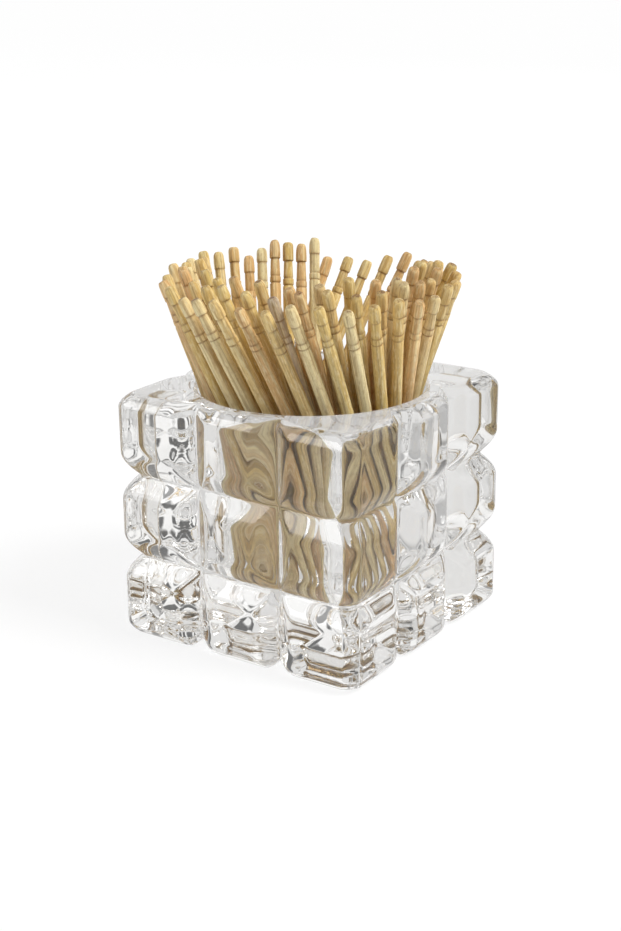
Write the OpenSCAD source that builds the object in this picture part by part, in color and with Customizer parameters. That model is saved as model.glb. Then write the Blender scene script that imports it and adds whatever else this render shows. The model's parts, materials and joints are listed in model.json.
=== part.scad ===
// Pressed-glass toothpick holder: a square block with raised panels on each side
// and a round well, filled with turned wooden toothpicks.
// Millimetres, +Z up, origin at the centre of the face that it stands on.

/* [Glass block] */
// Width of the block along X and along Y
block_w = 55; // [52:0.5:70]
// Height of the block
block_h = 49.6; // [46:0.2:60]
// Rounding of the block's outer edges
edge_r = 2.6; // [1:0.1:3.2]
// Glass between the well's floor and the face that the block stands on
base_thickness = 10.5; // [9:0.5:14]

/* [Panels] */
// Raised panels along each side of a face
panel_count = 3; // [2:1:4]
// Depth of the grooves between the panels
groove_depth = 2.8; // [1:0.1:3.2]
// Width of a groove at the panels' faces
groove_w = 7.6; // [4:0.2:9]
// Width of the flat at the bottom of a groove
groove_floor_w = 0.6; // [0.2:0.1:1.5]

/* [Well] */
// Thinnest glass between the well and the middle of a side
side_wall = 5.4; // [4.9:0.1:6]
// How far the well's wall has sloped in at the floor
well_slope_w = 2.9; // [1.1:0.1:3.2]
// Rounding between the well's wall and its floor
well_corner_r = 2.2; // [1:0.1:2.4]
// Rounding of the well's rim
rim_r = 1.6; // [0.6:0.1:2]

/* [Toothpick] */
// Length of a toothpick
pick_len = 65; // [60:1:70]
// Diameter of a toothpick's shaft
pick_d = 2.25; // [1.8:0.05:2.4]
// Length of the tapered point
point_len = 11; // [6:1:16]
// Diameter of the blunt end of the point
point_d = 0.5; // [0.3:0.1:1]
// Length of the domed head
head_len = 3.6; // [2.5:0.1:5]
// Height of the dome on top of the head
dome_h = 0.9; // [0.5:0.1:1.1]
// Length of the turned neck below the head
neck_len = 4; // [2.5:0.1:6]
// Diameter of the neck at its wide lower end
neck_d = 1.95; // [1.4:0.05:2]
// Diameter of the neck at its narrow upper end
neck_top_d = 1.75; // [1.2:0.05:1.9]
// Length of the collar below the neck
collar_len = 1; // [0.6:0.1:2]
// Width of each turned groove
turned_w = 0.4; // [0.2:0.05:0.6]
// Depth of each turned groove
turned_depth = 0.3; // [0.1:0.05:0.35]

/* [Arrangement] */
// Gap between the points and the well's floor
floor_gap = 0.3; // [0.2:0.05:1]
// Gap between the outer row and the well's wall
wall_gap = 0.3; // [0.2:0.05:1]
// Most that a toothpick stands above its neighbours
rise_most = 1.6; // [0:0.1:3]

/* [Hidden] */
overrun = 1;
arc_facets = 96;
pick_facets = 32;
dome_steps = 4;
floor_z = base_thickness;
well_r = block_w / 2 - side_wall;
well_floor_r = well_r - well_slope_w;
wall_angle = atan(well_slope_w / (block_h - floor_z));
groove_pitch_w = block_w / panel_count;
groove_pitch_h = block_h / panel_count;

// Soft shoulder of a groove, as shares of its half width and of its depth
shoulder_w_share = 0.62;
shoulder_depth_share = 0.3;

// The toothpicks stand in rows: single pieces in the first five, one group in the last
row_names = [
  "outer_pick", "back_right_pick", "back_pick", "back_left_pick", "second_row_pick", "third_row_picks"
];
single_rows = 5;
last_row = len(row_names) - 1;
// Toothpicks in each row
row_counts = [25, 5, 6, 4, 18, 14];
// Place of each row's first toothpick and the turn that the row fills, in degrees
row_first = [202, 96, 122, 168, 220, 219];
row_turn = [253.5, 46.9, 51.4, 34.8, 215.7, 209.9];
// Depth of each row in from the outer row, in toothpick diameters
row_depth_shares = [0, 0, 1.2, 0, 1.35, 2.6];
// How far the points are drawn in towards the middle, as shares of the rim circle,
// and how that grows with each toothpick
row_in_shares = [0.53, 0.71, 0.7, 0.6, 0.45, 0.41];
row_in_step_shares = [0, 0.01, 0, 0.01, 0, 0];
// How far the points are drawn round to the side, and how that grows
row_side_shares = [0.65, 0.57, -0.02, 0.41, 0.52, 0.41];
row_side_step_shares = [0, 0.05, 0.1, 0.055, 0, 0];
// How far the points stray in and out
row_stray_shares = [0.012, 0.006, 0.006, 0.006, 0.012, 0.012];
// Half of the width that a leaning shaft takes from the wall, as a share of its diameter
leaning_half_share = 0.54;
// Turns, in degrees, that spread the stray and the rise along a row and from row to row
stray_turn = 52.5;
stray_row_turn = 40;
rise_turn = 103;
rise_row_turn = 70;

tip_z = floor_z + floor_gap;
// Height at which a row's place round the rim is taken, just below the rounded rim
rim_z = block_h - rim_r;
// Circle that the outer row's axes pass through at that height
rim_row_r = wall_x(rim_z) - wall_gap - leaning_half_share * pick_d;

function wall_x(z) = well_floor_r + (z - floor_z) * tan(wall_angle);
function row_r(k) = rim_row_r - row_depth_shares[k] * pick_d;

// Place round the rim of toothpick j of row k, in degrees
function place(k, j) = row_first[k] + j * row_turn[k] / row_counts[k];
function stray(k, j) = row_stray_shares[k] * sin(stray_turn * j + stray_row_turn * k);
function draw_in(k, j) = rim_row_r * (row_in_shares[k] + j * row_in_step_shares[k] + stray(k, j));
function draw_side(k, j) = rim_row_r * (row_side_shares[k] + j * row_side_step_shares[k]);
function lean(k, j) = atan(norm([draw_in(k, j), draw_side(k, j)]) / (rim_z - tip_z));
function rise(k, j) = rise_most * (1 + sin(rise_turn * j + rise_row_turn * k)) / 2;

// Cross-section of a groove in an edge along X, cut upwards from the origin
module groove_section() {
  half_w = groove_w / 2;
  shoulder_x = half_w * shoulder_w_share;
  shoulder_y = groove_depth * shoulder_depth_share;
  polygon([
    [-half_w, -overrun],
    [half_w, -overrun],
    [half_w, 0],
    [shoulder_x, shoulder_y],
    [groove_floor_w / 2, groove_depth],
    [-groove_floor_w / 2, groove_depth],
    [-shoulder_x, shoulder_y],
    [-half_w, 0]
  ]);
}

// Rounded rectangle that stands on the middle of its lower edge
module rounded_outline(w, h) {
  translate([edge_r - w / 2, 0])
    square([w - 2 * edge_r, h]);
  translate([-w / 2, edge_r])
    square([w, h - 2 * edge_r]);
  for (x = [edge_r - w / 2, w / 2 - edge_r])
    for (y = [edge_r, h - edge_r])
      translate([x, y])
        circle(r = edge_r, $fn = arc_facets);
}

// The block seen from the front: grooves in both sides and in the underside
module front_outline() {
  difference() {
    rounded_outline(block_w, block_h);
    for (i = [1:panel_count - 1]) {
      translate([i * groove_pitch_w - block_w / 2, 0])
        groove_section();
      for (side = [-1, 1])
        translate([side * block_w / 2, i * groove_pitch_h])
          rotate(side * 90)
            groove_section();
    }
  }
}

// The block seen from above: grooves in all four sides
module plan_outline() {
  difference() {
    translate([0, -block_w / 2])
      rounded_outline(block_w, block_w);
    for (turn = [0:90:270])
      rotate(turn)
        for (i = [1:panel_count - 1])
          translate([i * groove_pitch_w - block_w / 2, -block_w / 2])
            groove_section();
  }
}

// The front outline carried through the block, turned about the vertical axis
module front_through(turn) {
  rotate([90, 0, turn])
    translate([0, 0, -block_w / 2 - overrun])
      linear_extrude(height = block_w + 2 * overrun)
        front_outline();
}

// Grooved block without its well
module block() {
  intersection() {
    translate([0, 0, -overrun])
      linear_extrude(height = block_h + 2 * overrun)
        plan_outline();
    front_through(0);
    front_through(90);
  }
}

// Half section of the well: a tapered wall with a rounded floor corner and a rounded rim
module well_section() {
  corner_x = well_floor_r + well_corner_r * (tan(wall_angle) - 1 / cos(wall_angle));
  corner_z = floor_z + well_corner_r;
  rim_centre_z = block_h - rim_r;
  rim_centre_x = wall_x(rim_centre_z) + rim_r / cos(wall_angle);
  rim_tangent_z = rim_centre_z + rim_r * sin(wall_angle);
  corner_tangent_z = corner_z - well_corner_r * sin(wall_angle);
  polygon([
    [0, floor_z],
    [corner_x, floor_z],
    [corner_x, corner_tangent_z],
    [wall_x(corner_tangent_z), corner_tangent_z],
    [wall_x(rim_tangent_z), rim_tangent_z],
    [0, rim_tangent_z]
  ]);
  intersection() {
    translate([corner_x, corner_z])
      circle(r = well_corner_r, $fn = arc_facets);
    translate([corner_x, floor_z])
      square([well_corner_r, corner_tangent_z - floor_z]);
  }
  difference() {
    translate([0, rim_tangent_z])
      square([rim_centre_x, block_h + overrun - rim_tangent_z]);
    translate([rim_centre_x, rim_centre_z])
      circle(r = rim_r, $fn = arc_facets);
  }
}

module glass_holder() {
  color([0.86, 0.9, 0.92, 0.45])
    difference() {
      block();
      rotate_extrude($fn = arc_facets)
        well_section();
    }
}

// Half section of a toothpick that stands on its point
function pick_section() = let (
  r = pick_d / 2,
  head_z = pick_len - head_len,
  neck_z = head_z - neck_len,
  collar_z = neck_z - collar_len,
  shaft_z = collar_z - turned_w
) concat(
  [
    [0, 0],
    [point_d / 2, 0],
    [r, point_len],
    [r, shaft_z],
    [r - turned_depth, shaft_z + turned_w / 2],
    [r, collar_z],
    [r, neck_z],
    [neck_d / 2, neck_z + turned_w / 2],
    [neck_top_d / 2, head_z - turned_w],
    [neck_top_d / 2, head_z - turned_w / 2],
    [r, head_z],
    [r, pick_len - dome_h]
  ],
  [
    for (i = [1:dome_steps])
      let (a = 90 * i / dome_steps)
        [r * cos(a), pick_len - dome_h + dome_h * sin(a)]
  ]
);

module toothpick() {
  rotate_extrude($fn = pick_facets)
    polygon(pick_section());
}

// Toothpick j of row k, leaning from its point on the well's floor to the rim
module placed_pick(k, j) {
  color("burlywood")
    rotate(place(k, j))
      translate([row_r(k) - draw_in(k, j), draw_side(k, j), tip_z])
        rotate([0, lean(k, j), atan2(-draw_side(k, j), draw_in(k, j))])
          translate([0, 0, rise(k, j)])
            toothpick();
}

glass_holder();
for (k = [0:single_rows - 1])
  for (j = [1:row_counts[k]])
    placed_pick(k, j - 1);
for (k = [single_rows:last_row])
  for (j = [1:row_counts[k]]) placed_pick(k, j - 1);
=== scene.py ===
import json
import math
import random

import bmesh
import bpy
import numpy as np
from mathutils import Matrix, Vector


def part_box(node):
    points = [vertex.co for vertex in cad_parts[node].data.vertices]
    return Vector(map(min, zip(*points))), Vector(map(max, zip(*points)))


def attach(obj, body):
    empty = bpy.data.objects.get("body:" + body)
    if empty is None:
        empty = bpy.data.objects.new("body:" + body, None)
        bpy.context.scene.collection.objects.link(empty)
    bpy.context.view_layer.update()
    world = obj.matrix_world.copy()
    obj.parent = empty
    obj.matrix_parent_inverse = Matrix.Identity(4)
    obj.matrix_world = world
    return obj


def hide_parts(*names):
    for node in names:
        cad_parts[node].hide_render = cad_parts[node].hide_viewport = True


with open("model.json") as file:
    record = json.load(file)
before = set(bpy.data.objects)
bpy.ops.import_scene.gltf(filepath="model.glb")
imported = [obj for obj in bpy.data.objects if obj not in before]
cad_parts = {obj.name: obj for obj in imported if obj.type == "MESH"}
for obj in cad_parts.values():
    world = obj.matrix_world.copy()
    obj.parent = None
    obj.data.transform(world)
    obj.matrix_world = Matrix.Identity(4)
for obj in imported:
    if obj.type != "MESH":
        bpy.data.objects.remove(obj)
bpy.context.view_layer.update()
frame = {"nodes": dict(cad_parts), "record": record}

MM = 0.001

# The photograph's camera, in degrees and millimetres
CAMERA_AZIMUTH = 34.415
CAMERA_ELEVATION = 18.578
CAMERA_ROLL = -0.57
CAMERA_DISTANCE = 331.3
CAMERA_AIM = (-1.15, 0.98, 31.83)
CAMERA_LENS = 64.62
CAMERA_SENSOR = 36
CAMERA_NEAR = 10

# Glass block, in millimetres
GLASS_NODE = "glass_holder"
PANELS = 3
EDGE_R = 2.6
GROOVE_DEPTH = 2.8
GROOVE_BLUNT = 0.3
GROOVE_REACH = 4.6
FOOT_GROOVE_REACH = 3.2
# Length at a side's end that gives way where a groove draws the outline in
GIVE_LEN = 8
WELL_WALL = 5.4
WELL_SLOPE = 2.9
WELL_CORNER_R = 2.2
WELL_FLOOR = 10.5
RIM_R = 1.6
WAVE_DEPTH = 0.05
GLASS_BUMP = 0.03

# Power of a groove's sides: 1 is a straight V, and more rounds its shoulders
GROOVE_SHARPNESS = 1.7
# Power of the curve over an edge: 2 is round, and 1 is a flat bevel
EDGE_FLATNESS = 1.5
# Power that joins crossing grooves softly
CROSSING_POWER = 3
# Share of a groove's depth that is gone at the block's top
TOP_GROOVE_LOSS = 0.35

# Points in each part of the glass block's outline and section
ALONG_POINTS = 92
ARC_POINTS = 10
FOOT_POINTS = 46
LOWER_EDGE_POINTS = 8
SIDE_POINTS = 84
UPPER_EDGE_POINTS = 9
TOP_SHARES = (0.2, 0.45, 0.7)
RIM_POINTS = 9
WALL_POINTS = 26
CORNER_POINTS = 7
FLOOR_POINTS = 9
# Points crowd together near a groove: how near, in millimetres, and how many more there are
CROWD_WIDTH = 1.6
CROWD_GAIN = 2.2
CROWD_SAMPLES = 2001

# Toothpicks, in millimetres
PICK_R = 1.125
POINT_LEN = 11
POINT_R = 0.25
# Bevel of the point's blunt end, and where the even rings of its cone start
POINT_BEVEL = 0.06
POINT_START = 1
HEAD_LEN = 3.6
# Most that a head and neck lie above or below their usual place
HEAD_SLIDE = 0.6
DOME_H = 0.9
# Gap between a head's end and the dome of its CAD solid, and the hollow in that end
CREST_GAP = 0.04
CREST_DISH = 0.05
NECK_LEN = 4
NECK_R = 0.975
NECK_TOP_R = 0.875
COLLAR_LEN = 1
TURNED_W = 0.4
TURNED_DEPTH = 0.3
FLUTE_DEPTH = 0.035
# Radius from which the flutes have their full depth
FLUTE_FULL_R = 1
NICK_DEPTH = 0.2
# How far a head's end is shifted off the axis
END_SHIFT_LEAST = 0.01
END_SHIFT = 0.08
WOOD_BUMP = 0.1
# Spread of the places in the wood that the toothpicks are cut from
GRAIN_RANGE = 5000
# Distances within which points of a CAD solid are one point or one flat end
WELD = 0.001
FLAT_END = 0.02

# Toothpicks, as counts, slopes and shares
PICK_SIDES = 22
POINT_RINGS = 6
SHAFT_RINGS = 16
FLUTES = 4
END_SLOPE = 0.4
END_STAINS = (0.4, 0.5, 0.7, 1.0)
SEED = 7
WEATHERED_NODE = "second_row_pick_8"
WEATHERED_TINT = 0
DARKEST_TINT = 0.2

# Light levels, where 1 is white
AMBIENT_LEVEL = 0.15
CEILING_LEVEL = 0.75
# How steeply a ray rises where the ceiling starts and where it is full: 1 is straight up
CEILING_START = 0.35
CEILING_FULL = 0.9
KEY_LEVEL = 3.3
FLOOR_LEVEL = 1.02
FLOOR_LEVEL_IN_GLASS = 0.73
# Share of the floor's look that is its own glow, and not the light that falls on it
FLOOR_GLOW = 0.85
FLOOR_GLOW_IN_GLASS = 0.85
# Share of a card's width or height over which each of its edges fades
CARD_FADE = 0.15

# Stage, in millimetres
FLOOR_REACH = 6000
FLOOR_DROP = 0.05
LYING_CARD_LIFT = 0.1
LIGHT_SIZE = 600
LIGHT_AIM = (0, 0, 40)


# Camera

def make_camera():
    azimuth = math.radians(CAMERA_AZIMUTH)
    elevation = math.radians(CAMERA_ELEVATION)
    forward = Vector((
        -math.sin(azimuth) * math.cos(elevation),
        math.cos(azimuth) * math.cos(elevation),
        -math.sin(elevation),
    ))
    right = Vector((math.cos(azimuth), math.sin(azimuth), 0))
    up = right.cross(forward)
    roll = math.radians(CAMERA_ROLL)
    right, up = (
        math.cos(roll) * right + math.sin(roll) * up,
        math.cos(roll) * up - math.sin(roll) * right,
    )
    data = bpy.data.cameras.new("camera")
    data.lens = CAMERA_LENS
    data.sensor_width = CAMERA_SENSOR
    data.sensor_fit = "AUTO"
    data.clip_start = CAMERA_NEAR * MM
    camera = bpy.data.objects.new("camera", data)
    bpy.context.scene.collection.objects.link(camera)
    place = (Vector(CAMERA_AIM) - forward * CAMERA_DISTANCE) * MM
    turned = Matrix((right, up, -forward)).transposed().to_4x4()
    camera.matrix_world = Matrix.Translation(place) @ turned
    bpy.context.scene.camera = camera


# Shader helpers

def new_material(name):
    material = bpy.data.materials.new(name)
    material.use_nodes = True
    tree = material.node_tree
    tree.nodes.clear()
    return material, tree


def add_node(tree, kind, inputs=(), **settings):
    """A new node with its settings, and with its inputs set or linked."""
    node = tree.nodes.new(kind)
    for key, value in settings.items():
        setattr(node, key, value)
    for key, value in dict(inputs).items():
        if isinstance(value, bpy.types.NodeSocket):
            tree.links.new(value, node.inputs[key])
        else:
            node.inputs[key].default_value = value
    return node


def math_node(tree, operation, a, b, clamp=False):
    inputs = {0: a, 1: b}
    return add_node(tree, "ShaderNodeMath", inputs, operation=operation, use_clamp=clamp).outputs[0]


def map_range(tree, value, low, high, to_low=0.0, to_high=1.0):
    inputs = {"Value": value, "From Min": low, "From Max": high, "To Min": to_low, "To Max": to_high}
    return add_node(tree, "ShaderNodeMapRange", inputs).outputs["Result"]


def mix_values(tree, factor, a, b):
    return add_node(tree, "ShaderNodeMix", {0: factor, 2: a, 3: b}).outputs[0]


def mix_colours(tree, factor, a, b):
    return add_node(tree, "ShaderNodeMix", {0: factor, 6: a, 7: b}, data_type="RGBA").outputs[2]


def noise(tree, place, across, along, detail, roughness=0.5):
    """Noise of one fineness across the Z axis and another along it."""
    scale = (across, across, along)
    stretched = add_node(tree, "ShaderNodeMapping", {"Vector": place, "Scale": scale}).outputs["Vector"]
    inputs = {"Vector": stretched, "Scale": 1.0, "Detail": detail, "Roughness": roughness}
    return add_node(tree, "ShaderNodeTexNoise", inputs).outputs["Fac"]


def ray_kinds(tree):
    """Two factors: seen straight by the camera, and seen in gloss or through glass."""
    path = add_node(tree, "ShaderNodeLightPath").outputs
    glassy = math_node(tree, "ADD", path["Is Glossy Ray"], path["Is Transmission Ray"], clamp=True)
    return path["Is Camera Ray"], glassy


def linear(red, green, blue):
    """A colour given as it looks on screen, as the linear values that a shader takes."""
    screen = (red, green, blue)
    return tuple(c / 12.92 if c <= 0.04045 else ((c + 0.055) / 1.055) ** 2.4 for c in screen) + (1,)


# Materials

def glass_material():
    material, tree = new_material("clear pressed glass")
    # Metres in the block's own axes
    place = add_node(tree, "ShaderNodeTexCoord").outputs["Object"]
    smears = noise(tree, place, 90, 60, 3)
    flow = noise(tree, place, 260, 160, 2)
    bump = add_node(tree, "ShaderNodeBump", {"Height": flow, "Strength": 0.25, "Distance": GLASS_BUMP * MM})
    tint = mix_colours(tree, smears, (0.985, 0.982, 0.972, 1), (0.955, 0.948, 0.93, 1))
    shader = add_node(tree, "ShaderNodeBsdfPrincipled", {
        "Base Color": tint,
        "Roughness": map_range(tree, smears, 0.35, 0.75, 0.0, 0.03),
        "IOR": 1.53,
        "Transmission Weight": 1.0,
        "Normal": bump.outputs["Normal"],
    })
    add_node(tree, "ShaderNodeOutputMaterial", {"Surface": shader.outputs[0]})
    return material


def wood_ground(tree, tint):
    """A toothpick's ground colour by its tint: weathered grey at 0, then warm, then pale."""
    colours = (
        (0.0, (0.78, 0.73, 0.65)),
        (0.08, (0.84, 0.68, 0.42)),
        (0.3, (0.91, 0.75, 0.53)),
        (0.5, (0.89, 0.78, 0.48)),
        (0.75, (0.94, 0.83, 0.60)),
        (1.0, (0.95, 0.90, 0.70)),
    )
    ramp = add_node(tree, "ShaderNodeValToRGB", {"Fac": tint})
    elements = ramp.color_ramp.elements
    while len(elements) < len(colours):
        elements.new(0.5)
    for element, (position, colour) in zip(elements, colours):
        element.position = position
        element.color = linear(*colour)
    return ramp.outputs["Color"]


def wood_material():
    material, tree = new_material("pale turned wood")
    # The marks hold each toothpick's tint, the painted shade of its turned grooves and its end grain
    marks = add_node(tree, "ShaderNodeAttribute", attribute_name="marks")
    tint, turned, end = add_node(tree, "ShaderNodeSeparateColor", {"Color": marks.outputs["Color"]}).outputs
    # Millimetres along each toothpick's own axes
    place = add_node(tree, "ShaderNodeAttribute", attribute_name="grain").outputs["Vector"]
    fibres = noise(tree, place, 3.6, 0.09, 3, 0.6)
    streaks = noise(tree, place, 1.1, 0.045, 2)
    patches = noise(tree, place, 0.3, 0.07, 2)
    specks = noise(tree, place, 5.2, 2.6, 1)
    flecks = noise(tree, place, 2.6, 0.45, 2, 0.6)
    lines = noise(tree, place, 2.1, 0.05, 2, 0.6)
    mottle = noise(tree, place, 1.9, 0.9, 2, 0.7)

    # Each pattern, where it starts and is full, how strong it is there and the colour that it brings
    layers = (
        (fibres, 0.3, 0.75, 0.4, (0.58, 0.43, 0.24)),
        (streaks, 0.5, 0.72, 0.6, (0.95, 0.90, 0.70)),
        (patches, 0.55, 0.8, 0.35, (0.78, 0.56, 0.33)),
        (mottle, 0.5, 0.78, 0.45, (0.62, 0.46, 0.28)),
        (lines, 0.47, 0.64, 0.5, (0.58, 0.43, 0.24)),
        (flecks, 0.5, 0.66, 0.4, (0.97, 0.92, 0.75)),
    )
    colour = wood_ground(tree, tint)
    for pattern, low, high, strength, shade in layers:
        cover = map_range(tree, pattern, low, high, 0.0, strength)
        colour = mix_colours(tree, cover, colour, linear(*shade))
    # Painted shade in the turned grooves, deepest at their bottoms, and rough end grain that is darker
    # still
    groove_shade = math_node(tree, "MULTIPLY", turned, map_range(tree, patches, 0.35, 0.65, 0.25, 0.75))
    colour = mix_colours(tree, groove_shade, colour, linear(0.50, 0.33, 0.17))
    rough_end = math_node(tree, "MULTIPLY", end, map_range(tree, specks, 0.4, 0.58, 0.5, 1.0))
    colour = mix_colours(tree, rough_end, colour, linear(0.40, 0.27, 0.17))
    height = math_node(tree, "ADD", fibres, math_node(tree, "MULTIPLY", specks, end))
    bump = add_node(tree, "ShaderNodeBump", {"Height": height, "Strength": 0.6, "Distance": WOOD_BUMP * MM})
    shader = add_node(tree, "ShaderNodeBsdfPrincipled", {
        "Base Color": colour,
        "Roughness": map_range(tree, fibres, 0.3, 0.7, 0.5, 0.72),
        "Specular IOR Level": 0.4,
        "Normal": bump.outputs["Normal"],
    })
    add_node(tree, "ShaderNodeOutputMaterial", {"Surface": shader.outputs[0]})
    return material


# Mesh helpers

def mesh_object(name, points, faces, material):
    mesh = bpy.data.meshes.new(name)
    mesh.from_pydata([tuple(p) for p in points], [], faces)
    mesh.update()
    mesh.shade_smooth()
    mesh.materials.append(material)
    thing = bpy.data.objects.new(name, mesh)
    bpy.context.scene.collection.objects.link(thing)
    return thing


def ring_faces(rings, count):
    """Faces between rings of so many points, closed at both ends by a middle point: the last two."""
    faces = []
    for i in range(rings - 1):
        for j in range(count):
            k = (j + 1) % count
            faces.append((i * count + j, i * count + k, (i + 1) * count + k, (i + 1) * count + j))
    last = (rings - 1) * count
    first_middle = rings * count
    for j in range(count):
        k = (j + 1) % count
        faces.append((first_middle, k, j))
        faces.append((first_middle + 1, last + j, last + k))
    return faces


# Glass block

def spread(low, high, count, centres):
    """Steps from low to high that lie closer together near the centres."""
    fine = np.linspace(low, high, CROWD_SAMPLES)
    density = np.ones_like(fine)
    for centre in centres:
        density += CROWD_GAIN * np.exp(-((fine - centre) / CROWD_WIDTH) ** 2)
    share = np.concatenate([[0], np.cumsum((density[1:] + density[:-1]) / 2)])
    return np.interp(np.linspace(0, share[-1], count), share, fine)


def groove_centres(span):
    """Where the grooves lie across a side that runs from -span to span."""
    pitch = 2 * span / PANELS
    return np.arange(1, PANELS) * pitch - span


def groove(place, span, reach=GROOVE_REACH):
    """Depth below the panels' faces at a place across a side that runs from -span to span."""
    apart = np.abs(np.asarray(place)[..., None] - groove_centres(span)).min(-1)
    apart = np.sqrt(apart ** 2 + GROOVE_BLUNT ** 2)
    return GROOVE_DEPTH * np.clip(1 - apart / reach, 0, 1) ** GROOVE_SHARPNESS


def crossing(a, b):
    """Depth where two grooves cross: that of the deeper one, and a little more where both are deep."""
    return (a ** CROSSING_POWER + b ** CROSSING_POWER) ** (1 / CROSSING_POWER)


def corner(angle):
    """Across and up on a unit corner that is flatter at its middle than a circle."""
    power = 2 / EDGE_FLATNESS
    return np.abs(np.sin(angle)) ** power, np.abs(np.cos(angle)) ** power


class Loop:
    """A loop of points round the block: each one's side, its place along it and its angle on a corner."""

    def __init__(self, half):
        self.half = half
        self.flat = half - EDGE_R
        along = spread(-self.flat, self.flat, ALONG_POINTS, groove_centres(half))
        arc = np.linspace(0, math.pi / 2, ARC_POINTS)[1:-1]
        self.side = np.repeat(np.arange(4), len(along) + len(arc))
        self.place = np.tile(np.r_[along, np.full(len(arc), self.flat)], 4)
        self.angle = np.tile(np.r_[np.zeros(len(along)), arc], 4)
        self.on_corner = self.angle > 0

    def grooves(self, reach=GROOVE_REACH):
        """Depth of the grooves at each point, with none on the corners."""
        return np.where(self.on_corner, 0, groove(self.place, self.half, reach))

    def outline(self, inset, sink, sink_level=0.0):
        """A ring from above, each side on its own: x along the side and y out from the middle."""
        reach = self.half - inset - sink_level - EDGE_R
        fixed = self.flat - GIVE_LEN
        size = np.abs(self.place)
        moved = np.where(size <= fixed, size, fixed + (size - fixed) * (reach - fixed) / GIVE_LEN)
        across, up = corner(self.angle)
        out = self.half - inset - crossing(sink, sink_level)
        x = np.where(self.on_corner, reach + EDGE_R * across, np.sign(self.place) * moved)
        y = np.where(self.on_corner, reach + EDGE_R * up, out)
        return x, y

    def ring(self, x, y, z):
        """The points of a ring, each side turned to its own place."""
        quarters = self.side * math.pi / 2
        return np.stack([
            x * np.cos(quarters) + y * np.sin(quarters),
            x * np.sin(quarters) - y * np.cos(quarters),
            np.broadcast_to(z, x.shape),
        ], 1)


def underside_rings(loop):
    """Rings from the middle of the underside outwards."""
    rings = []
    foot_x, foot_y = loop.outline(EDGE_R, 0)
    for share in np.linspace(0, 1, FOOT_POINTS)[1:]:
        x = foot_x * share
        y = foot_y * share
        depth = crossing(groove(x, loop.half, FOOT_GROOVE_REACH), groove(y, loop.half, FOOT_GROOVE_REACH))
        rings.append(loop.ring(x, y, depth))
    return rings


def lower_edge_rings(loop):
    rings = []
    for lean in np.linspace(0, math.pi / 2, LOWER_EDGE_POINTS)[1:]:
        across, up = corner(lean)
        x, y = loop.outline(EDGE_R * (1 - across), loop.grooves() * math.sin(lean))
        z = EDGE_R * (1 - up) + loop.grooves(FOOT_GROOVE_REACH) * math.cos(lean)
        rings.append(loop.ring(x, y, z))
    return rings


def side_rings(loop, top):
    rings = []
    middle = top / 2
    for z in spread(EDGE_R, top - EDGE_R, SIDE_POINTS, groove_centres(middle) + middle)[1:]:
        x, y = loop.outline(0, loop.grooves(), groove(z - middle, middle))
        rings.append(loop.ring(x, y, z))
    return rings


def upper_edge_rings(loop, top):
    rings = []
    for lean in np.linspace(0, math.pi / 2, UPPER_EDGE_POINTS)[1:]:
        across, up = corner(math.pi / 2 - lean)
        loss = TOP_GROOVE_LOSS * lean / (math.pi / 2)
        x, y = loop.outline(EDGE_R * (1 - across), loop.grooves() * (1 - loss))
        rings.append(loop.ring(x, y, top - EDGE_R * (1 - up)))
    return rings


def well_section(half, top):
    """Half section of the well, from the top of its rim to near the middle of its floor."""
    slope = math.atan(WELL_SLOPE / (top - WELL_FLOOR))
    well_r = half - WELL_WALL

    def wall_x(z):
        return well_r - (top - z) * math.tan(slope)

    rim_z = top - RIM_R
    rim_x = wall_x(rim_z) + RIM_R / math.cos(slope)
    corner_x = wall_x(WELL_FLOOR) + WELL_CORNER_R * (math.tan(slope) - 1 / math.cos(slope))
    wall_foot = WELL_FLOOR + WELL_CORNER_R * (1 - math.sin(slope))
    section = []
    for turn in np.linspace(math.pi / 2, math.pi - slope, RIM_POINTS):
        section.append((rim_x + RIM_R * math.cos(turn), rim_z + RIM_R * math.sin(turn)))
    wall_top = section[-1][1]
    for z in np.linspace(wall_top, wall_foot, WALL_POINTS)[1:]:
        section.append((wall_x(z), z))
    for turn in np.linspace(slope, math.pi / 2, CORNER_POINTS)[1:]:
        x = corner_x + WELL_CORNER_R * math.cos(turn)
        section.append((x, WELL_FLOOR + WELL_CORNER_R * (1 - math.sin(turn))))
    for share in np.linspace(1, 0, FLOOR_POINTS)[1:-1]:
        section.append((corner_x * share, WELL_FLOOR))
    return section


def top_and_well_rings(edge, section):
    """Rings from the edge of the top to the well's rim, and then down its section."""
    angle = np.arctan2(edge[:, 1], edge[:, 0])
    circle = np.stack([np.cos(angle), np.sin(angle)], 1)
    well = [np.column_stack([circle * r, np.full(len(circle), z)]) for r, z in section]
    return [edge * (1 - share) + well[0] * share for share in TOP_SHARES] + well


def wavy(ring):
    """The slight unevenness of pressed glass, always towards the block's middle."""
    x, y, z = ring[:, 0], ring[:, 1], ring[:, 2]
    # Lengths in millimetres that don't fit each other; three waves run from -3 to 3 together
    wave = (
        np.sin(x / 3.1 + 1.3) * np.cos(z / 3.7 + 0.4)
        + np.sin(y / 2.7 + 2.1) * np.cos(z / 4.3 + 1.9)
        + np.sin((x + y + z) / 5.3)
    )
    move = WAVE_DEPTH * (0.5 + wave / 6)
    moved = ring.copy()
    # Within a millimetre of the axis the move fades out
    reach = np.maximum(np.hypot(x, y), 1)
    moved[:, 0] -= move * x / reach
    moved[:, 1] -= move * y / reach
    return moved


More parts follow.
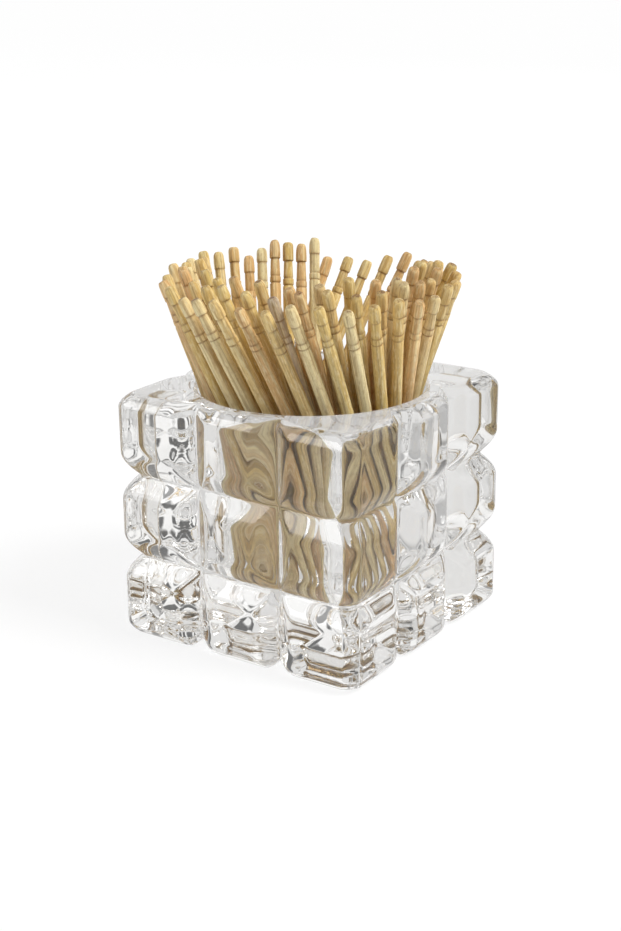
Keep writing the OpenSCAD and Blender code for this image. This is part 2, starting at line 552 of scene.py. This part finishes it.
def make_glass(material):
    low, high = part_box(GLASS_NODE)
    half = (high.x - low.x) / 2 / MM
    top = high.z / MM
    loop = Loop(half)
    rings = underside_rings(loop) + lower_edge_rings(loop)
    rings += side_rings(loop, top) + upper_edge_rings(loop, top)
    rings += top_and_well_rings(rings[-1], well_section(half, top))
    rings = [wavy(ring) for ring in rings]
    foot_z = rings[0][0, 2]
    points = np.vstack(rings + [[(0, 0, foot_z), (0, 0, WELL_FLOOR)]])
    faces = ring_faces(len(rings), len(rings[0]))
    block = mesh_object("glass_block", points * MM, faces, material)
    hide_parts(GLASS_NODE)
    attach(block, "holder")


# Toothpicks

def solids_of(node):
    """The points of each separate solid of a CAD node, in their order round the well."""
    work = bmesh.new()
    work.from_mesh(frame["nodes"][node].data)
    bmesh.ops.remove_doubles(work, verts=work.verts, dist=WELD * MM)
    solids = []
    seen = set()
    for start in work.verts:
        if start in seen:
            continue
        seen.add(start)
        todo = [start]
        points = []
        while todo:
            vertex = todo.pop()
            points.append(tuple(vertex.co))
            for edge in vertex.link_edges:
                other = edge.other_vert(vertex)
                if other not in seen:
                    seen.add(other)
                    todo.append(other)
        solids.append(np.array(points))
    work.free()
    return sorted(solids, key=lambda p: math.atan2(p[:, 1].mean(), p[:, 0].mean()))


def ends_of(points):
    """The middle of the point's blunt end and the head's top, of one toothpick's solid."""
    centred = points - points.mean(0)
    axis = np.linalg.svd(centred, full_matrices=False)[2][0]
    if axis[2] < 0:
        axis = -axis
    reach = points @ axis
    tip = points[reach < reach.min() + FLAT_END * MM].mean(0)
    return Vector(tip), Vector(points[reach.argmax()])


def shaft_rings(shaft):
    """The point and the shaft up to the height where the collar's groove starts."""
    rings = [(0, POINT_R * 0.6, 0, 0.8), (POINT_BEVEL, POINT_R, 0, 0.5)]
    for z in np.linspace(POINT_START, POINT_LEN, POINT_RINGS):
        rings.append((z, POINT_R + (PICK_R - POINT_R) * z / POINT_LEN, 0, 0))
    for z in np.linspace(POINT_LEN, shaft, SHAFT_RINGS)[1:]:
        rings.append((z, PICK_R, 0, 0))
    return rings


def collar_rings(shaft, collar, neck, neck_r, depth):
    """The groove below the collar, the collar and the groove above it, with painted shade that is full at
    each groove's bottom.
    """
    return [
        (shaft + TURNED_W * 0.25, PICK_R - depth * 0.55, 0.7, 0),
        (shaft + TURNED_W * 0.5, PICK_R - depth, 1, 0),
        (shaft + TURNED_W * 0.75, PICK_R - depth * 0.55, 0.7, 0),
        (collar, PICK_R * 0.985, 0.2, 0),
        (collar + (neck - collar) * 0.25, PICK_R, 0, 0),
        (collar + (neck - collar) * 0.75, PICK_R, 0, 0),
        (neck - TURNED_W * 0.1, PICK_R * 0.985, 0.2, 0),
        (neck + TURNED_W * 0.2, neck_r - depth * 0.3, 1, 0),
        (neck + TURNED_W * 0.6, neck_r - depth * 0.2, 0.8, 0),
        (neck + TURNED_W * 1.2, neck_r, 0.2, 0),
    ]


def neck_rings(neck, head, neck_r, neck_top_r, depth):
    """The neck and the groove between it and the head, with painted shade in that groove."""
    rings = []
    for share in (0.3, 0.5, 0.7, 0.85):
        z = neck + (head - neck) * share
        rings.append((z, neck_r + (neck_top_r - neck_r) * share, 0, 0))
    return rings + [
        (head - TURNED_W * 0.9, neck_top_r, 0.3, 0),
        (head - TURNED_W * 0.4, neck_top_r - depth * 0.2, 1, 0),
        (head - TURNED_W * 0.1, neck_top_r, 1, 0),
        (head + TURNED_W * 0.1, PICK_R * 0.95, 0.4, 0),
        (head + TURNED_W * 0.5, PICK_R * 0.99, 0, 0),
    ]


def head_rings(head, crest, dome, shoulder_r, end_r):
    """The head's barrel, its dome and its small flat end."""
    rings = []
    barrel = crest - dome - head
    for share in (0.4, 0.75, 1):
        rings.append((head + barrel * share, PICK_R + (shoulder_r - PICK_R) * share ** 2, 0, 0))
    for turn in (20, 40, 58, 74, 90):
        a = math.radians(turn)
        r = end_r + (shoulder_r - end_r) * math.cos(a)
        rings.append((crest - dome + dome * math.sin(a), r, 0, (turn / 90) ** 3))
    rings.append((crest, end_r * 0.6, 0, 1))
    return rings


def pick_rings(length, draw):
    """Rings from a toothpick's point up: height, radius, the painted shade of its turned grooves there, and
    how end-grained it is there.
    """
    slide = draw.uniform(-HEAD_SLIDE, HEAD_SLIDE)
    head = length - HEAD_LEN * draw.uniform(0.94, 1.1) + slide
    neck = length - HEAD_LEN - NECK_LEN + slide
    collar = neck - COLLAR_LEN * draw.uniform(0.85, 1.15)
    shaft = collar - TURNED_W
    neck_r = NECK_R * draw.uniform(1.0, 1.1)
    neck_top_r = NECK_TOP_R * draw.uniform(0.97, 1.2)
    depth = TURNED_DEPTH * draw.uniform(0.35, 0.9)
    end_r = PICK_R * draw.uniform(0.3, 0.62)
    dome = DOME_H * draw.uniform(0.9, 1.7)
    shoulder_r = PICK_R * draw.uniform(0.93, 0.98)
    # The end stays under the plain dome of the same toothpick's solid, however far it is shifted
    edge_share = (end_r + END_SHIFT) / PICK_R
    crest = length - DOME_H * (1 - math.sqrt(1 - edge_share ** 2)) - CREST_GAP
    return (
        shaft_rings(shaft)
        + collar_rings(shaft, collar, neck, neck_r, depth)
        + neck_rings(neck, head, neck_r, neck_top_r, depth)
        + head_rings(head, crest, dome, shoulder_r, end_r)
    )


def pick_skin(rings, length, tint, draw):
    """A toothpick's points, and for each one its tint, the painted shade of its turned grooves and how
    stained it is.
    """
    angles = np.linspace(0, 2 * math.pi, PICK_SIDES, endpoint=False)
    flutes = [(draw.randint(3, 9), draw.uniform(0, 7), draw.uniform(0.02, 0.08)) for _ in range(FLUTES)]
    lean = draw.uniform(0, 2 * math.pi)
    nick = draw.uniform(0, 2 * math.pi)
    nick_depth = draw.uniform(0, NICK_DEPTH)
    nick_len = HEAD_LEN / 2
    shift = draw.uniform(END_SHIFT_LEAST, END_SHIFT)
    slope = draw.uniform(0, END_SLOPE)
    stain = draw.choice(END_STAINS)
    points = []
    marks = []
    for z, r, turned, end in rings:
        waves = sum(np.sin(count * angles + phase + z * twist) for count, phase, twist in flutes)
        radius = r - FLUTE_DEPTH * (waves / (2 * FLUTES) + 0.5) * min(1, r / FLUTE_FULL_R)
        if length - z < nick_len:
            bite = np.clip(np.cos(angles - nick), 0, 1) ** 3
            radius = radius - nick_depth * bite * (1 - (length - z) / nick_len)
        drift = shift * end
        x = radius * np.cos(angles) + drift * math.cos(lean)
        y = radius * np.sin(angles) + drift * math.sin(lean)
        sunk = z - slope * end * (1 - np.cos(angles - nick)) * radius / 2
        points += list(zip(x, y, sunk))
        marks += [(tint, turned, end * stain)] * PICK_SIDES
    points += [(0, 0, 0), (shift * math.cos(lean), shift * math.sin(lean), sunk.mean() - CREST_DISH)]
    marks += [(tint, 0, stain), (tint, 0, stain)]
    return points, marks


def add_wood_marks_and_shade(pick, marks, places):
    """What the wood material reads at each point of a toothpick: its tint, the painted shade of its grooves
    and its end grain.
    """
    colours = pick.data.color_attributes.new("marks", "FLOAT_COLOR", "POINT")
    colours.data.foreach_set("color", np.array([m + (1,) for m in marks], np.float32).ravel())
    grain = pick.data.attributes.new("grain", "FLOAT_VECTOR", "POINT")
    grain.data.foreach_set("vector", places.astype(np.float32).ravel())


def make_pick(name, body, node, solid, tint, material, draw):
    tip, crest = ends_of(solid)
    length = (crest - tip).length / MM
    rings = pick_rings(length, draw)
    points, marks = pick_skin(rings, length, tint, draw)
    faces = ring_faces(len(rings), PICK_SIDES)
    axis = (crest - tip).normalized()
    spin = Matrix.Rotation(draw.uniform(0, 2 * math.pi), 4, "Z")
    stand = Matrix.Translation(tip) @ axis.to_track_quat("Z", "Y").to_matrix().to_4x4() @ spin
    pick = mesh_object(name, [stand @ (Vector(p) * MM) for p in points], faces, material)
    add_wood_marks_and_shade(pick, marks, np.array(points) + [0, 0, draw.uniform(0, GRAIN_RANGE)])
    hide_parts(node)
    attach(pick, body)


def make_picks(material):
    draw = random.Random(SEED)
    bodies = frame["record"]["behaviour"]["bodies"]
    for body, nodes in bodies.items():
        for node in nodes:
            if node == GLASS_NODE:
                continue
            solids = solids_of(node)
            for i, solid in enumerate(solids):
                name = f"turned_{node}" if len(solids) == 1 else f"turned_{node}_{i + 1}"
                tint = draw.uniform(DARKEST_TINT, 1)
                if node == WEATHERED_NODE:
                    tint = WEATHERED_TINT
                make_pick(name, body, node, solid, tint, material, draw)


# Stage and light

def make_world():
    """White to the camera, dim as light on the object, and greyer overhead in gloss and through glass."""
    world = bpy.data.worlds.new("studio")
    world.use_nodes = True
    bpy.context.scene.world = world
    tree = world.node_tree
    tree.nodes.clear()
    straight, glassy = ray_kinds(tree)
    ray = add_node(tree, "ShaderNodeTexCoord").outputs["Generated"]
    rise = add_node(tree, "ShaderNodeSeparateXYZ", {"Vector": ray}).outputs["Z"]
    ceiling = map_range(tree, rise, CEILING_START, CEILING_FULL, 1.0, CEILING_LEVEL)
    level = mix_values(tree, glassy, AMBIENT_LEVEL, ceiling)
    level = mix_values(tree, straight, level, 1.0)
    sky = add_node(tree, "ShaderNodeBackground", {"Color": (1, 1, 1, 1), "Strength": level})
    add_node(tree, "ShaderNodeOutputWorld", {"Surface": sky.outputs[0]})


def make_floor():
    """A pale floor with a glow of its own, which keeps it white but lets a soft shadow show."""
    material, tree = new_material("pale floor")
    straight, glassy = ray_kinds(tree)
    glow_in_glass = math_node(tree, "MULTIPLY", glassy, FLOOR_GLOW_IN_GLASS)
    glow = mix_values(tree, straight, glow_in_glass, FLOOR_GLOW)
    level = mix_values(tree, straight, FLOOR_LEVEL_IN_GLASS, FLOOR_LEVEL)
    matt = add_node(tree, "ShaderNodeBsdfDiffuse", {"Color": (0.86, 0.86, 0.86, 1)})
    bright = add_node(tree, "ShaderNodeEmission", {"Color": (1, 1, 1, 1), "Strength": level})
    mixed = add_node(tree, "ShaderNodeMixShader", {0: glow, 1: matt.outputs[0], 2: bright.outputs[0]})
    add_node(tree, "ShaderNodeOutputMaterial", {"Surface": mixed.outputs[0]})
    reach = FLOOR_REACH * MM
    corners = [(-reach, -reach, 0), (reach, -reach, 0), (reach, reach, 0), (-reach, reach, 0)]
    floor = mesh_object("floor", corners, [(0, 1, 2, 3)], material)
    floor.location.z = -FLOOR_DROP * MM


def card_material(name, level):
    """A glow of one level that fades out towards the card's edges."""
    material, tree = new_material(name)
    place = add_node(tree, "ShaderNodeTexCoord").outputs["UV"]
    split = add_node(tree, "ShaderNodeSeparateXYZ", {"Vector": place}).outputs
    cover = 1.0
    for axis in "XY":
        edge = math_node(tree, "PINGPONG", split[axis], 0.5)
        cover = math_node(tree, "MULTIPLY", cover, map_range(tree, edge, 0.0, CARD_FADE))
    clear = add_node(tree, "ShaderNodeBsdfTransparent")
    glow = add_node(tree, "ShaderNodeEmission", {"Color": (level, level, level, 1), "Strength": 1.0})
    mixed = add_node(tree, "ShaderNodeMixShader", {0: cover, 1: clear.outputs[0], 2: glow.outputs[0]})
    add_node(tree, "ShaderNodeOutputMaterial", {"Surface": mixed.outputs[0]})
    return material


def card(name, turn, corners, level, through):
    """A card that shows only in gloss, and through glass where so set, at a turn in degrees from +X."""
    points = np.array(corners) * MM
    panel = mesh_object(name, points, [(3, 2, 1, 0)], card_material(name, level))
    uv = panel.data.uv_layers.new()
    uv.data.foreach_set("uv", [0, 1, 1, 1, 1, 0, 0, 0])
    panel.rotation_euler.z = math.radians(turn)
    panel.visible_camera = False
    panel.visible_diffuse = False
    panel.visible_shadow = False
    panel.visible_transmission = through


def upright_card(name, turn, distance, width, low, high, level, through=True):
    half = width / 2
    corners = [
        (distance, -half, low),
        (distance, half, low),
        (distance, half, high),
        (distance, -half, high),
    ]
    card(name, turn, corners, level, through)


def lying_card(name, turn, near, far, width, level):
    half = width / 2
    z = LYING_CARD_LIFT
    corners = [(near, -half, z), (near, half, z), (far, half, z), (far, -half, z)]
    card(name, turn, corners, level, True)


def new_light(name, kind, direction, energy):
    """A light that shines in a direction and isn't mirrored in the glass."""
    data = bpy.data.lights.new(name, kind)
    data.energy = energy
    light = bpy.data.objects.new(name, data)
    bpy.context.scene.collection.objects.link(light)
    light.rotation_euler = direction.to_track_quat("-Z", "Y").to_euler()
    light.visible_glossy = False
    return light


def area_light(name, place, watts):
    place = Vector([value * MM for value in place])
    aim = Vector([value * MM for value in LIGHT_AIM])
    light = new_light(name, "AREA", aim - place, watts)
    light.location = place
    light.visible_transmission = False
    light.data.shape = "DISK"
    light.data.size = LIGHT_SIZE * MM


def sun_light(name, source, width, level):
    """Sunlight from a source that is so many degrees wide."""
    light = new_light(name, "SUN", -Vector(source), level)
    light.data.angle = math.radians(width)


def make_stage():
    make_world()
    make_floor()
    upright_card("right_card", turn=75, distance=500, width=320, low=0, high=270, level=0.12)
    lying_card("rear_shade", turn=72, near=60, far=300, width=200, level=0.5)
    upright_card("left_card", turn=205, distance=450, width=460, low=0, high=240, level=0.2)
    upright_card("window", turn=232, distance=800, width=800, low=150, high=1000, level=5.0, through=False)
    sun_light("key", source=(0.82, 0.14, 1.0), width=20, level=KEY_LEVEL)
    area_light("softbox", place=(-750, -650, 600), watts=3.0)
    area_light("fill", place=(100, 900, 420), watts=4.0)


def set_render():
    scene = bpy.context.scene
    scene.view_settings.view_transform = "Standard"
    scene.cycles.max_bounces = 32
    scene.cycles.transmission_bounces = 28
    scene.cycles.glossy_bounces = 8
    scene.cycles.diffuse_bounces = 4
    scene.cycles.use_denoising = True


make_camera()
make_stage()
make_glass(glass_material())
make_picks(wood_material())
set_render()
